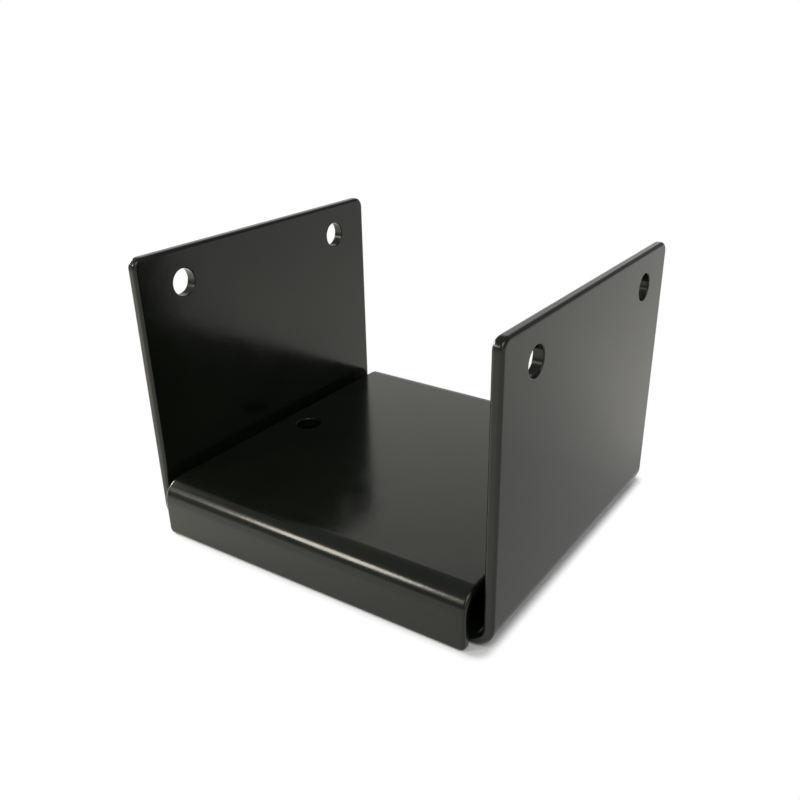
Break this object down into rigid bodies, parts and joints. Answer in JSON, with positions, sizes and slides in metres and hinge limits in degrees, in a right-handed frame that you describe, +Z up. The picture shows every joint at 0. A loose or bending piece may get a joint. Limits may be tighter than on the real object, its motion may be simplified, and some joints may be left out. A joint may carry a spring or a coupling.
{
  "type": "u bracket",
  "caption": "U-shaped bracket in folded, black-coated sheet steel, with drilled upright walls and a raised, lipped seat plate between them.",
  "frame": {"origin": "on the mounting plane, under the middle of the channel's base, midway between its two walls and midway between the walls' front and back edges", "axes": "+X across the bracket from the left wall to the right wall, +Y from the front lip of the seat towards its back lip, +Z up along the walls"},
  "size_m": [0.1094, 0.1034, 0.078],
  "materials": {
    "powder_coat": "semi-gloss black powder coat on steel, with a fine orange peel"
  },
  "bodies": {
    "root": {"u_channel": "powder_coat", "seat_plate": "powder_coat"}
  },
  "joints": []
}
